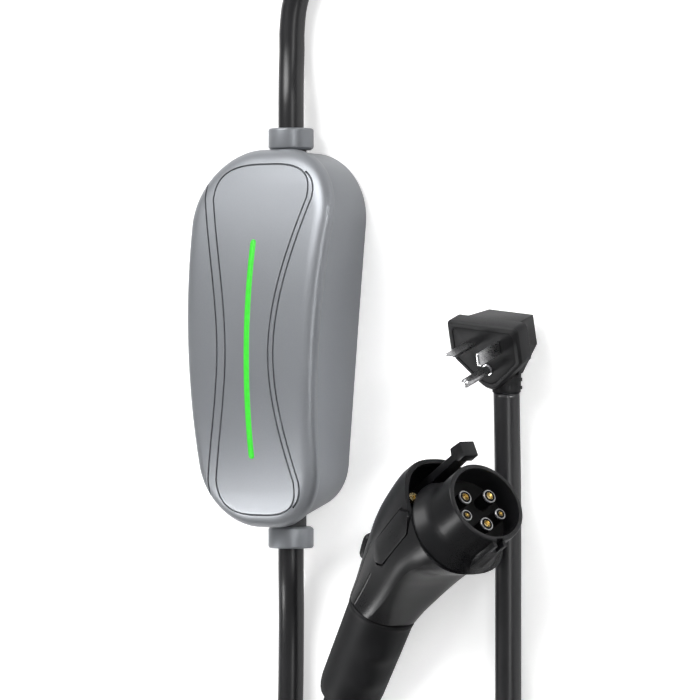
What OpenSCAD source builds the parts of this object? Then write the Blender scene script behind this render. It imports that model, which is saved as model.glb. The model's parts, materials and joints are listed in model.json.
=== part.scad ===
// Portable charger for an electric car: control box, mains plug and five-pin vehicle connector.
// Everything lies on the floor, z = 0. The box lies on its back with its face up, its wide end at +Y.

/* [Control box] */
// Length of the control box
box_l = 199; // [190:1:210]
// Width across the wide end
box_w_top = 93; // [88:1:98]
// Width across the narrow end
box_w_low = 79; // [74:1:84]
// Height of the face at its crown
box_h = 50; // [48:0.5:56]
// Radius of the lengthwise bow of the face
bow_r = 320; // [310:10:420]
// Corner radius in plan at the wide end
corner_r_top = 38; // [34:1:42]
// Corner radius in plan at the narrow end
corner_r_low = 34; // [30:1:36]
// Height of the cover's rim below the face
rim_h = 7.5; // [6.5:0.5:8.5]
// Wall of the cover and of the housing
wall = 2.8; // [2.2:0.2:3.2]
// How far the housing draws in towards its back
back_draw = 8; // [6:0.5:9]
// Gap between the cover and the housing
seam_gap = 0.8; // [0.5:0.1:1.2]

/* [Face] */
// Width of the shadow lines round the middle panel
line_w = 0.9; // [0.6:0.1:1.4]
// Depth of those lines
line_depth = 0.8; // [0.5:0.1:1.2]
// Half width of the middle panel at the wide end
panel_top = 31.5; // [29:0.5:33]
// Half width of the middle panel at its waist
panel_waist = 14.4; // [12:0.2:17]
// Half width of the middle panel at the narrow end
panel_low = 26; // [24:0.5:27.5]
// Length of the light bar
light_l = 116; // [90:1:124]
// Width of the light bar
light_w = 3.4; // [2.6:0.1:4.4]

/* [Cable and glands] */
// Cable diameter
cable_d = 13.5; // [12:0.1:13.5]
// Height of the gland axis above the back
gland_z = 12.5; // [12.4:0.1:13]
// Radius of the gland's thread
gland_r = 8.2; // [7.8:0.1:8.4]
// Radius of the gland's collar
collar_r = 12; // [11:0.1:12.2]
// Length of the gland's collar
collar_l = 11.5; // [10:0.5:12]

/* [Vehicle connector] */
// Outside radius of the barrel
barrel_r = 21.9; // [21.5:0.1:22.3]
// Wall of the barrel
barrel_wall = 2.4; // [2:0.1:2.8]
// Length of the barrel in front of the handle
barrel_l = 28; // [26:0.5:30]
// Radius of the collar where the barrel meets the handle
barrel_collar_r = 26.6; // [25.6:0.1:27]
// Depth of the contact tips behind the barrel's rim
tip_depth = 5; // [3:0.5:8]
// Bore radius of the three large contacts
big_bore = 1.8; // [1.6:0.1:2]
// Bore radius of the two small contacts
small_bore = 1.2; // [1:0.1:1.4]
// Wall of a contact
contact_wall = 0.8; // [0.6:0.1:1]
// Wall of the handle shells
shell_wall = 2.4; // [2:0.1:2.8]
// Bend of the grip below the barrel's axis, in degrees
grip_bend = 28; // [24:1:30]
// Radius of the grip sleeve
grip_r = 17.7; // [17:0.1:18]
// Length of the grip sleeve
grip_l = 58; // [50:1:60]
// Travel of the latch lever, in degrees
latch_travel = 6; // [4:0.5:7]
// Radius of the latch pin
pin_r = 1.6; // [1.4:0.1:2]

/* [Mains plug] */
// Width of the plug's face
plug_w = 45; // [42:1:48]
// Depth of the plug's body behind its face
plug_depth = 26; // [24:0.5:28]
// Length of the blades
blade_l = 18; // [16:0.5:20]
// Thickness of the blades
blade_t = 1.6; // [1.4:0.1:1.8]
// Width of the blades
blade_w = 6.4; // [6:0.1:7.2]
// Radius of the earth pin
earth_r = 2.4; // [2.2:0.1:2.6]
// Length of the earth pin
earth_l = 21; // [19:0.5:23]

/* [Clearances] */
// Clearance between pieces that are fitted together
fit = 0.15; // [0.1:0.05:0.25]
// Clearance between pieces that move past each other
run_gap = 0.4; // [0.3:0.05:0.6]

/* [Hidden] */
$fn = 48;

silver = [0.60, 0.62, 0.65];
dark = [0.10, 0.10, 0.11];
rubber = [0.13, 0.13, 0.14];
board_green = [0.10, 0.32, 0.18];
brass = [0.80, 0.65, 0.30];
nickel = [0.75, 0.75, 0.76];

// Plan of the box: four corner circles, given by the right-hand pair, and the lines tangent to them
corner_steps = 9;
side_steps = 8;
top_c = [box_w_top / 2 - corner_r_top, box_l / 2 - corner_r_top];
low_c = [box_w_low / 2 - corner_r_low, corner_r_low - box_l / 2];
side_run = top_c - low_c;
side_a = asin((corner_r_low - corner_r_top) / norm(side_run)) - atan2(side_run.x, side_run.y);
bow_y = -10;
function bow(y) = box_h - bow_r + sqrt(bow_r * bow_r - (y - bow_y) * (y - bow_y));
function on_circle(c, r, a) = [c.x + r * cos(a), c.y + r * sin(a)];
function half_plan(inset) = let (
        rt = corner_r_top - inset,
        rl = corner_r_low - inset,
        from = on_circle(top_c, rt, side_a),
        to = on_circle(low_c, rl, side_a)
    ) concat(
        [for (i = [0:corner_steps]) on_circle(top_c, rt, 90 + (side_a - 90) * i / corner_steps)],
        [for (i = [1:side_steps - 1]) from + (to - from) * i / side_steps],
        [for (i = [0:corner_steps]) on_circle(low_c, rl, side_a - (side_a + 90) * i / corner_steps)]
    );
function plan(inset) = let (half = half_plan(inset), n = len(half))
    concat(half, [for (i = [n - 1:-1:0]) [-half[i].x, half[i].y]]);

// A ring of the box at an inset: level at z, or z below the bowed face
function level_ring(inset, z) = [for (p = plan(inset)) [p.x, p.y, z]];
function bowed_ring(inset, z) = [for (p = plan(inset)) [p.x, p.y, bow(p.y) - z]];

// Closed skin over a stack of rings, with both ends capped by strips across the box
module ring_skin(rings, flip = false) {
    n = len(rings[0]);
    last = (len(rings) - 1) * n;
    walls = [for (i = [0:len(rings) - 2], j = [0:n - 1], k = [0, 1])
        let (a = i * n + j, b = i * n + (j + 1) % n)
        k == 0 ? [a, a + n, b + n] : [a, b + n, b]];
    strips = [for (j = [0:n / 2 - 2], k = [0, 1])
        k == 0 ? [j, j + 1, n - j - 2] : [j, n - j - 2, n - j - 1]];
    lids = concat(strips, [for (f = strips) [last + f[2], last + f[1], last + f[0]]]);
    faces = concat(walls, lids);
    polyhedron(
        points = [for (r = rings, p = r) p],
        faces = flip ? [for (f = faces) [f[2], f[1], f[0]]] : faces,
        convexity = 6
    );
}

// Space between two depths below the bowed face
module bow_layer(near, far) {
    difference() {
        translate([-box_w_top, bow_y, box_h - bow_r])
            rotate([0, 90, 0])
            cylinder(h = 2 * box_w_top, r = bow_r - near, $fn = 200);
        translate([-box_w_top - 1, bow_y, box_h - bow_r])
            rotate([0, 90, 0])
            cylinder(h = 2 * box_w_top + 2, r = bow_r - far, $fn = 200);
    }
}

// Middle panel: an hourglass between two round ends
panel_y_top = box_l / 2 - 8;
panel_y_low = 6.5 - box_l / 2;
panel_corner = 15;
waist_y = -8;
function ease(t) = t * t * (1.6 - 0.6 * t);
function panel_half(y) = y > waist_y
    ? panel_waist + (panel_top - panel_waist) * ease((y - waist_y) / (panel_y_top - panel_corner - waist_y))
    : panel_waist + (panel_low - panel_waist) * ease((waist_y - y) / (waist_y - panel_y_low - panel_corner));
function panel_side() = let (
        from = panel_y_top - panel_corner,
        to = panel_y_low + panel_corner
    ) concat(
        [for (a = [90:-15:15]) on_circle([panel_top - panel_corner, from], panel_corner, a)],
        [for (i = [0:14]) let (y = from + (to - from) * i / 14) [panel_half(y), y]],
        [for (a = [-15:-15:-90]) on_circle([panel_low - panel_corner, to], panel_corner, a)]
    );
module panel_plan(grow_left, grow_right) {
    side = panel_side();
    n = len(side);
    polygon(concat(
        [for (p = side) [p.x + grow_right, p.y]],
        [for (i = [n - 1:-1:0]) [-side[i].x - grow_left, side[i].y]]
    ));
}
outer_left = 5.6;
outer_right = 3.4;
module panel_lines() {
    difference() {
        panel_plan(line_w / 2, line_w / 2);
        panel_plan(-line_w / 2, -line_w / 2);
    }
    intersection() {
        difference() {
            panel_plan(outer_left + line_w / 2, outer_right + line_w / 2);
            panel_plan(outer_left - line_w / 2, outer_right - line_w / 2);
        }
        translate([-box_w_top / 2, panel_y_low + panel_corner / 2])
            square([box_w_top, panel_y_top - panel_y_low - panel_corner]);
    }
}

light_y = -3.5;
module light_block(grow) {
    translate([-light_w / 2 - grow, light_y - light_l / 2 - grow, box_h / 2])
        cube([light_w + 2 * grow, light_l + 2 * grow, box_h]);
}

screw_at = [[-27, 62], [27, 62], [-23, -64], [23, -64]];
screw_r = 1.6;
screw_head_r = 3.1;
screw_head_h = 2.4;
boss_r = 4.4;
boss_split = 19;
floor_t = 3.4;
cover_skin = 2.6;
light_post_y = 46;
light_board_z = 33;
board_t = 1.6;

module front_cover() {
    color(silver)
    difference() {
        union() {
            ring_skin([
                bowed_ring(9, 0),
                bowed_ring(5.4, 0.3),
                bowed_ring(2.7, 1.3),
                bowed_ring(0.9, 3.1),
                bowed_ring(0, 5.4),
                bowed_ring(0.4, rim_h),
                bowed_ring(wall + 1, rim_h),
                bowed_ring(wall + 2.6, cover_skin)
            ]);
            for (p = screw_at)
                translate([p.x, p.y, boss_split + fit])
                cylinder(h = bow(p.y) - boss_split - cover_skin / 2 - fit, r = boss_r - 0.6);
            for (s = [-1, 1])
                translate([8, light_y + s * light_post_y, light_board_z + board_t])
                cylinder(h = bow(s * light_post_y) - light_board_z - board_t - cover_skin / 2, r = 2.2);
        }
        for (p = screw_at)
            translate([p.x, p.y, boss_split - 1])
            cylinder(h = 9, r = screw_r + fit);
        intersection() {
            linear_extrude(box_h + 5) panel_lines();
            bow_layer(-4, line_depth);
        }
        light_block(fit);
        gland_holes();
    }
}

module rear_housing() {
    color(silver)
    difference() {
        union() {
            ring_skin([
                level_ring(back_draw + 5, 0),
                level_ring(back_draw + 1.4, 0.8),
                level_ring(back_draw, 3),
                bowed_ring(1.2, rim_h + seam_gap),
                bowed_ring(1.2 + wall, rim_h + seam_gap),
                level_ring(back_draw + wall, floor_t + 2),
                level_ring(back_draw + wall + 2, floor_t)
            ], flip = true);
            for (p = screw_at)
                translate([p.x, p.y, floor_t - 1])
                cylinder(h = boss_split - floor_t + 1, r = boss_r);
            for (p = board_posts)
                translate([p.x, p.y, floor_t - 1])
                cylinder(h = board_z - floor_t + 1, r = 3);
        }
        for (p = screw_at) {
            translate([p.x, p.y, -1])
                cylinder(h = boss_split + 2, r = screw_r + fit);
            translate([p.x, p.y, -1])
                cylinder(h = screw_head_h + 1.6, r = screw_head_r + fit);
        }
        gland_holes();
    }
}
module gland_holes() {
    for (s = [-1, 1])
        translate([0, s * (box_l / 2 - 30), gland_z])
        rotate([-90 * s, 0, 0])
        cylinder(h = 40, r = gland_r + fit);
}

// Soft cord seal in the seam between cover and housing
module housing_seal() {
    color(rubber)
    difference() {
        seam_ring(1.2 + wall * 0.3, 1.2 + wall * 0.75);
        gland_holes();
    }
}
seal_gap = 0.1;
module seam_ring(out, in) {
    rings = [
        bowed_ring(out, rim_h + seal_gap),
        bowed_ring(out, rim_h + seam_gap - seal_gap),
        bowed_ring(in, rim_h + seam_gap - seal_gap),
        bowed_ring(in, rim_h + seal_gap)
    ];
    n = len(rings[0]);
    polyhedron(
        points = [for (r = rings, p = r) p],
        faces = [for (i = [0:3], j = [0:n - 1], k = [0, 1])
            let (i2 = (i + 1) % 4, j2 = (j + 1) % n)
            k == 0 ? [i * n + j, i2 * n + j, i2 * n + j2] : [i * n + j, i2 * n + j2, i * n + j2]],
        convexity = 4
    );
}

flange_w = 2;
module light_bar() {
    color([0.30, 0.90, 0.25])
    union() {
        intersection() {
            light_block(0);
            bow_layer(-0.3, cover_skin + 1);
        }
        intersection() {
            light_block(flange_w);
            bow_layer(cover_skin + fit, cover_skin + 1.4);
        }
    }
}

light_board_w = 18;
light_board_x = -7;
light_board_in = 4;
module light_board() {
    color(board_green)
    translate([light_board_x, light_y - light_l / 2 + light_board_in, light_board_z])
    cube([light_board_w, light_l - 2 * light_board_in, board_t]);
}

board_z = 7;
board_w = 58;
board_l = 102;
board_y = -52;
board_hole_r = 1.4;
board_posts = [[-24, 42], [24, 42], [-22, -44], [22, -44]];
board_top = board_z + board_t;
module main_board() {
    color(board_green)
    difference() {
        translate([-board_w / 2, board_y, board_z])
            cube([board_w, board_l, board_t]);
        for (p = board_posts)
            translate([p.x, p.y, board_z - 1])
            cylinder(h = board_t + 2, r = board_hole_r);
    }
}

module relay(x) {
    color([0.08, 0.08, 0.09])
    difference() {
        translate([x - 8, 6, board_top])
            cube([16, 30, 20]);
        translate([x - 6.5, 7.5, board_top + 19.2])
            cube([13, 27, 2]);
    }
}
module power_relay_a() { relay(-17); }
module power_relay_b() { relay(3); }

module current_sensor() {
    color([0.75, 0.55, 0.15])
    translate([20.5, -4, board_top])
    difference() {
        cylinder(h = 9, r = 7.4);
        translate([0, 0, -1])
            cylinder(h = 11, r = 3.6);
    }
}

module supply_transformer() {
    color([0.85, 0.75, 0.20])
    union() {
        translate([-25, -36, board_top])
            cube([22, 24, 6]);
        translate([-22, -33, board_top + 5.5])
            cube([16, 18, 9]);
    }
}

module capacitor(y) {
    color([0.12, 0.16, 0.30])
    translate([10, y, board_top])
    cylinder(h = 16, r = 5);
}
module capacitor_a() { capacitor(-19); }
module capacitor_b() { capacitor(-31); }

module terminal_block(y) {
    color([0.20, 0.45, 0.25])
    difference() {
        translate([-14, y, board_top])
            cube([28, 10, 11]);
        for (x = [-9, 0, 9])
            translate([x, y + 5, board_top + 6])
            cylinder(h = 6, r = 2.4);
    }
}
module terminal_block_in() { terminal_block(38); }
module terminal_block_out() { terminal_block(-51); }

module cover_screw(p) {
    color(nickel)
    translate([p.x, p.y, 0])
    difference() {
        union() {
            translate([0, 0, 1.4 + fit])
                cylinder(h = screw_head_h - 1, r = screw_head_r);
            translate([0, 0, 1.4 + fit])
                cylinder(h = boss_split + 5, r = screw_r);
        }
        cylinder(h = 2.3, r = 1.4, $fn = 6);
    }
}
module cover_screw_a() { cover_screw(screw_at[0]); }
module cover_screw_b() { cover_screw(screw_at[1]); }
module cover_screw_c() { cover_screw(screw_at[2]); }
module cover_screw_d() { cover_screw(screw_at[3]); }

// Glands: y runs out of the box along the cable
collar_y = box_l / 2;
cable_y = collar_y + collar_l * 0.55;
module at_gland(end) {
    translate([0, 0, gland_z])
        rotate([0, 0, end > 0 ? 0 : 180])
        rotate([-90, 0, 0])
        children();
}
module gland_body(end) {
    color([0.30, 0.31, 0.33])
    at_gland(end)
    union() {
        translate([0, 0, collar_y - 14])
            cylinder(h = cable_y - collar_y + 14, r = gland_r);
        translate([0, 0, collar_y - 17])
            cylinder(h = 4, r = gland_r + 1.2, $fn = 6);
    }
}
module gland_collar(end) {
    color(silver)
    at_gland(end)
    translate([0, 0, collar_y])
    difference() {
        rotate_extrude()
            polygon([[0, 0], [collar_r - 1.4, 0], [collar_r, 1.2], [collar_r, collar_l - 0.8],
                [collar_r - 0.8, collar_l], [0, collar_l]]);
        translate([0, 0, -1])
            cylinder(h = cable_y - collar_y + 1.2, r = gland_r + fit);
        translate([0, 0, -1])
            cylinder(h = collar_l + 2, r = cable_d / 2 + fit);
    }
}
module gland_body_in() { gland_body(1); }
module gland_body_out() { gland_body(-1); }
module gland_collar_in() { gland_collar(1); }
module gland_collar_out() { gland_collar(-1); }

// Vehicle connector, drawn with x forward along the barrel, z towards the latch, rim at x = 0
rim_at = [153.9, -83, 46.9];
yaw = 30;
pitch = 13.3;
roll = -97;
module on_connector() {
    translate(rim_at)
        rotate([0, 0, yaw])
        rotate([0, -pitch, 0])
        rotate([roll, 0, 0])
        children();
}
module along_barrel(x) {
    translate([x, 0, 0])
        rotate([0, 90, 0])
        rotate([0, 0, 90])
        children();
}

// Handle: sections along a spine that bends into the grip.
// Each row is x, z of the centre, tilt, half width, height above and height below the centre.
grip_x = -103;
grip_z = -7.3;
shell_x = -barrel_l - 0.6;
handle_rows = [
    [shell_x, 0, 0, barrel_collar_r + 0.4, 38, 26.7],
    [-38, 0.2, 0, 26.6, 39.5, 24.8],
    [-50, 0, 3, 25.4, 39, 20.6],
    [-62, -0.8, 8, 23.6, 36.5, 19.6],
    [-73, -2.4, 13, 21.5, 32, 19.2],
    [-84, -4.2, 18, 19.6, 27, 18.9],
    [-94, -5.8, 23, 18.3, 22, 18.3],
    [grip_x, grip_z, grip_bend, 17.6, 18.2, 17.8]
];
// Point of a section: flat-sided below with a crease along the side, domed above
function section(row, a, inset) = let (
        w = row[3] - inset,
        up = row[4] - inset,
        low = row[5] - inset,
        c = cos(a),
        s = sin(a),
        e = s > 0 ? 0.92 : 0.8,
        y = w * sign(c) * pow(abs(c), e),
        z = (s > 0 ? up : low) * sign(s) * pow(abs(s), e)
    ) [row[0] - z * sin(row[2]), y, row[1] + z * cos(row[2])];
shell_steps = 14;
split_gap = 0.1;
function shell_angle(side, i) = 90 - side * 180 * i / shell_steps + (side < 0 ? 0 : 360);
function half_section(row, side) = let (
        out = [for (i = [0:shell_steps]) section(row, shell_angle(side, i), 0)],
        in = [for (i = [shell_steps:-1:0]) section(row, shell_angle(side, i), shell_wall)]
    ) [for (p = concat(out, in)) [p.x, side * max(split_gap / 2, side * p.y), p.z]];

// Solid skinned over closed sections, with flat ends
module section_skin(rows, flip = false) {
    n = len(rows[0]);
    m = len(rows);
    walls = [for (i = [0:m - 2], j = [0:n - 1], k = [0, 1])
        let (a = i * n + j, b = i * n + (j + 1) % n)
        k == 0 ? [a, a + n, b + n] : [a, b + n, b]];
    // each end is a band between the outer and the inner half of its section
    half = n / 2;
    band = [for (j = [0:half - 2], k = [0, 1])
        k == 0 ? [j, j + 1, n - j - 2] : [j, n - j - 2, n - j - 1]];
    last = (m - 1) * n;
    faces = concat(walls, band, [for (f = band) [last + f[2], last + f[1], last + f[0]]]);
    polyhedron(
        points = [for (r = rows, p = r) p],
        faces = flip ? [for (f = faces) [f[2], f[1], f[0]]] : faces,
        convexity = 8
    );
}

button_x = -91;
button_w = 13;
button_l = 15;
plaque_x = -50;
plaque_z = 7;
front_screw_y = 19.5;
front_screw_z = 19;
module handle_shell(side) {
    difference() {
        union() {
            section_skin([for (row = handle_rows) half_section(row, side)], flip = side < 0);
            translate([shell_x, side * front_screw_y, front_screw_z])
                rotate([0, -90, 0])
                cylinder(h = 10, r = 3.6);
        }
        // way out for the thumb button
        translate([button_x - button_l / 2 - run_gap - 1, -button_w / 2 - run_gap, 4])
            cube([button_l + 2 * run_gap + 2, button_w + 2 * run_gap, 40]);
        translate([shell_x + 1, side * front_screw_y, front_screw_z])
            rotate([0, -90, 0])
            cylinder(h = 12, r = screw_r + fit);
        translate([shell_x + 1, side * front_screw_y, front_screw_z])
            rotate([0, -90, 0])
            cylinder(h = 4, r = 2.6 + fit);
    }
}
module handle_shell_left() {
    color(dark) on_connector() handle_shell(1);
}
module handle_shell_right() {
    color(dark)
    on_connector()
    difference() {
        handle_shell(-1);
        on_plaque()
            linear_extrude(8) plaque_plan(fit);
    }
}

// Long six-sided plaque let into the right-hand side
plaque_l = 42;
plaque_w = 13;
plaque_y = 23.3;
plaque_t = 1.7;
module plaque_plan(grow) {
    polygon([
        [plaque_l / 2 + grow, plaque_w / 2 - 4],
        [plaque_l / 2 - 5, plaque_w / 2 + grow],
        [-plaque_l / 2 + 7, plaque_w / 2 + grow],
        [-plaque_l / 2 - grow, plaque_w / 2 - 6],
        [-plaque_l / 2 - grow, -plaque_w / 2 + 4],
        [-plaque_l / 2 + 5, -plaque_w / 2 - grow],
        [plaque_l / 2 - 7, -plaque_w / 2 - grow],
        [plaque_l / 2 + grow, -plaque_w / 2 + 6]
    ]);
}
module on_plaque() {
    translate([plaque_x, -plaque_y, plaque_z])
        rotate([0, 0, -7])
        rotate([90, 0, 0])
        rotate([0, 0, 4])
        children();
}
module side_plaque() {
    color([0.14, 0.14, 0.15])
    on_connector()
    on_plaque()
    translate([0, 0, fit])
        linear_extrude(plaque_t) plaque_plan(0);
}

// The grip's own axis leaves the spine at grip_x
module on_grip() {
    translate([grip_x, 0, grip_z])
        rotate([0, -grip_bend, 0])
        rotate([0, -90, 0])
        children();
}
module grip_sleeve() {
    color(rubber)
    on_connector()
    on_grip()
    difference() {
        rotate_extrude()
            polygon([[0, 0.6], [grip_r - 1, 0.6], [grip_r + 0.4, 1.6], [grip_r + 0.4, 3.2], [grip_r, 4.4],
                [grip_r - 0.8, grip_l - 10], [grip_r - 1.6, grip_l - 2], [grip_r - 3, grip_l], [0, grip_l]]);
        translate([0, 0, -1])
            cylinder(h = grip_l + 1 - sleeve_end, r = grip_r - 3.2);
        translate([0, 0, 10])
            cylinder(h = grip_l, r = boot_r + fit);
    }
}

boot_r = 10.4;
boot_l = 22;
sleeve_end = 5;
module cable_boot() {
    color(rubber)
    on_connector()
    on_grip()
    translate([0, 0, grip_l])
    rotate_extrude()
        polygon([[0, -sleeve_end - 2.4], [boot_r + 2.4, -sleeve_end - 2.4],
            [boot_r + 2.4, -sleeve_end - fit], [boot_r, -sleeve_end - fit], [boot_r, 2],
            [boot_r + 1, 3], [boot_r + 1, 6], [boot_r - 0.8, 8],
            [cable_d / 2 + 0.8, boot_l], [0, boot_l]]);
}

// Barrel: a thin tube with a key at its foot, flaring into a collar
floor_x = 14;
module barrel() {
    color(dark)
    on_connector()
    difference() {
        union() {
            along_barrel(0)
                rotate([180, 0, 0])
                rotate_extrude($fn = 96)
                polygon([[barrel_r - barrel_wall, 0], [barrel_r - 0.5, 0], [barrel_r, 0.5],
                    [barrel_r, barrel_l - 12], [barrel_r + 0.8, barrel_l - 8],
                    [barrel_collar_r - 1, barrel_l - 2], [barrel_collar_r, barrel_l],
                    [barrel_collar_r - 3.6, barrel_l],
                    [barrel_collar_r - 3.6, barrel_l + 5], [barrel_r - barrel_wall, barrel_l + 5]]);
            translate([-barrel_l + 4, -key_w / 2, -barrel_r - key_h])
                cube([barrel_l - 5, key_w, key_h + 1]);
        }
        translate([-8, -key_w / 4, -barrel_r - key_h - 1])
            cube([9, key_w / 2, key_h + barrel_wall]);
        // room for the latch lever over the collar
        translate([-barrel_l - 6, -lever_w / 2 - run_gap - 1, barrel_r + 1.4])
            cube([barrel_l, lever_w + 2 * run_gap + 2, 12]);
    }
}
key_w = 8;
key_h = 2.6;

// Contacts: y, z, bore and depth come from the face pattern
big_at = [[-7.8, 6], [7.8, 6], [0, -9.5]];
small_at = [[-10.8, -4.2], [10.8, -4.2]];
sleeve_wall = 0.9;
module contact_carrier() {
    color([0.05, 0.05, 0.05])
    on_connector()
    difference() {
        union() {
            along_barrel(-barrel_l - 5)
                cylinder(h = barrel_l + 5 - floor_x, r = barrel_r - barrel_wall - fit, $fn = 96);
            for (p = big_at)
                carrier_sleeve(p, big_bore);
            for (p = small_at)
                carrier_sleeve(p, small_bore);
        }
        for (p = big_at)
            contact_hole(p, big_bore);
        for (p = small_at)
            contact_hole(p, small_bore);
    }
}
module carrier_sleeve(p, bore) {
    translate([-floor_x - 1, p.x, p.y])
        rotate([0, 90, 0])
        cylinder(h = floor_x + 1 - tip_depth - 0.6, r = bore + contact_wall + fit + sleeve_wall);
}
module contact_hole(p, bore) {
    translate([-barrel_l - 6, p.x, p.y])
        rotate([0, 90, 0])
        cylinder(h = barrel_l + 6, r = bore + contact_wall + fit);
}
contact_bore_l = 20;
module contact(p, bore) {
    color(brass)
    on_connector()
    translate([-barrel_l - 5, p.x, p.y])
    rotate([0, 90, 0])
    difference() {
        cylinder(h = barrel_l + 5 - tip_depth, r = bore + contact_wall);
        translate([0, 0, barrel_l + 5 - tip_depth - contact_bore_l])
            cylinder(h = contact_bore_l + 1, r = bore);
    }
}
module line_contact() { contact(big_at[0], big_bore); }
module neutral_contact() { contact(big_at[1], big_bore); }
module earth_contact() { contact(big_at[2], big_bore); }
module pilot_contact() { contact(small_at[0], small_bore); }
module proximity_contact() { contact(small_at[1], small_bore); }

module front_screw(side) {
    color(brass)
    on_connector()
    translate([shell_x - 2.4, side * front_screw_y, front_screw_z])
    rotate([0, -90, 0])
    difference() {
        union() {
            translate([0, 0, -1.6])
                cylinder(h = 2, r = 2.6);
            cylinder(h = 7, r = screw_r);
        }
        translate([0, 0, -2])
            cylinder(h = 1.4, r = 1.2, $fn = 6);
    }
}
module front_screw_left() { front_screw(1); }
module front_screw_right() { front_screw(-1); }

// Latch: a rocking lever on a pin, with a hook in front and a thumb button behind
pivot_x = -50;
pivot_z = 27;
lever_w = 9;
module lever_profile() {
    difference() {
        union() {
            polygon([[1, 26.2], [1, 34.5], [-8, 35.2], [-9, 31.8], [-44, 31.6], [-56, 30.6],
                [-64, 28.3], [-84, 16.8], [-98, 11.6], [-98, 8.4], [-84, 13], [-62, 24.5],
                [-56, 26], [-44, 27.2],
                [-7, 28], [-5, 26.2]]);
            translate([pivot_x, pivot_z])
                circle(r = pin_r + 2.6);
        }
        translate([pivot_x, pivot_z])
            circle(r = pin_r + fit);
    }
}
module latch_lever() {
    color(dark)
    on_connector()
    union() {
        translate([0, lever_w / 2, 0])
            rotate([90, 0, 0])
            linear_extrude(lever_w) lever_profile();
        translate([0, button_w / 2, 0])
            rotate([90, 0, 0])
            linear_extrude(button_w) button_profile();
    }
}
module button_profile() {
    polygon([
        [button_x + button_l / 2, 15],
        [button_x + button_l / 2, 24],
        [button_x + button_l / 2 - 3, 26.4],
        [button_x - 1, 24.2],
        [button_x - button_l / 2 + 2, 19],
        [button_x - button_l / 2, 15.6],
        [button_x - button_l / 2, 9.6]
    ]);
}

frame_t = 2;
frame_gap = lever_w / 2 + run_gap;
module latch_pin() {
    color(nickel)
    on_connector()
    translate([pivot_x, -frame_gap - frame_t, pivot_z])
    rotate([-90, 0, 0])
    cylinder(h = 2 * (frame_gap + frame_t), r = pin_r);
}
spring_x = -58;
spring_r = 2.6;
spring_wire = 0.5;
spring_top = 23.6;
frame_floor = 10;
frame_end = -74;
module latch_frame() {
    color([0.16, 0.16, 0.17])
    on_connector()
    difference() {
        union() {
            for (s = [-1, 1])
                translate([0, s * (frame_gap + frame_t / 2) + frame_t / 2, 0])
                rotate([90, 0, 0])
                linear_extrude(frame_t)
                polygon([[-barrel_l - 5.2, frame_floor], [-barrel_l - 5.2, 20], [pivot_x + 6, pivot_z + 3.4],
                    [pivot_x - 6, pivot_z + 3.4], [frame_end, 16], [frame_end, frame_floor]]);
            translate([frame_end, -frame_gap - frame_t, frame_floor - frame_t])
                cube([-barrel_l - 5.2 - frame_end, 2 * (frame_gap + frame_t), frame_t + 0.4]);
            translate([spring_x, 0, frame_floor])
                cylinder(h = 5, r = spring_r - spring_wire - 0.3);
            translate([-barrel_l - 9.2, -frame_gap - frame_t, -12])
                cube([4, 2 * (frame_gap + frame_t), frame_floor + 12]);
        }
        translate([pivot_x, -20, pivot_z])
            rotate([-90, 0, 0])
            cylinder(h = 40, r = pin_r + fit / 2);
    }
}

// Wire swept along a list of points: rings stay square to the path
function unit(v) = v / norm(v);
function path_dir(path, i) = unit(path[min(i + 1, len(path) - 1)] - path[max(i - 1, 0)]);
function path_ring(path, i, r, sides) = let (
        d = path_dir(path, i),
        u = unit(cross(d, abs(d.z) > 0.9 ? [1, 0, 0] : [0, 0, 1])),
        v = cross(u, d)
    ) [for (k = [0:sides - 1]) path[i] + r * (cos(360 * k / sides) * u + sin(360 * k / sides) * v)];
module swept(path, r, sides) {
    m = len(path);
    polyhedron(
        points = [for (i = [0:m - 1]) each path_ring(path, i, r, sides)],
        faces = concat(
            [for (i = [0:m - 2], j = [0:sides - 1], k = [0, 1])
                let (a = i * sides + j, b = i * sides + (j + 1) % sides)
                k == 0 ? [a, b + sides, a + sides] : [a, b, b + sides]],
            [[for (j = [sides - 1:-1:0]) j], [for (j = [0:sides - 1]) (m - 1) * sides + j]]
        ),
        convexity = 8
    );
}

spring_turns = 5;
spring_low = frame_floor + 0.4 + spring_wire;
spring_rise = (spring_top - spring_low - spring_wire) / (12 * spring_turns);
module latch_spring() {
    color(nickel)
    on_connector()
    swept([for (i = [0:12 * spring_turns])
        [spring_x + spring_r * cos(30 * i), spring_r * sin(30 * i), spring_low + spring_rise * i]],
        spring_wire, 6);
}

// Mains plug: lies on its back hump, its face tipped towards the cable
plug_at = [137, -9, 25.4];
plug_tilt = 21;
plug_yaw = -6;
module on_plug() {
    translate(plug_at)
        rotate([0, 0, plug_yaw])
        rotate([plug_tilt, 0, 0])
        children();
}
face_t = 3;
module shield(inset, up, low) {
    w = plug_w / 2 - inset;
    hull() {
        for (s = [-1, 1]) {
            translate([s * (w - 3), up - inset - 3]) circle(r = 3, $fn = 24);
            translate([s * (w - 3), -1]) circle(r = 3, $fn = 24);
        }
        translate([0, -low + inset + 9]) circle(r = 9, $fn = 36);
    }
}
module plug_body() {
    color(rubber)
    on_plug()
    difference() {
        union() {
            hull() {
                translate([0, 0, -9])
                    linear_extrude(9 - 1.2) shield(0, 17, 19);
                translate([0, 0, -9])
                    linear_extrude(9) shield(1.2, 17, 19);
                translate([0, 0, -14])
                    linear_extrude(1) shield(5, 16, 16);
            }
            hull() {
                translate([-plug_w / 2 + 6, 2, -10]) cube([plug_w - 12, 14, 1]);
                translate([-14, -2, -plug_depth]) cube([28, 16, 6]);
                translate([-11, -14, -15]) cube([22, 8, 4]);
            }
        }
        translate([0, 0, -face_t])
            linear_extrude(face_t + 1) shield(3.4, 17, 19);
    }
}
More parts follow.
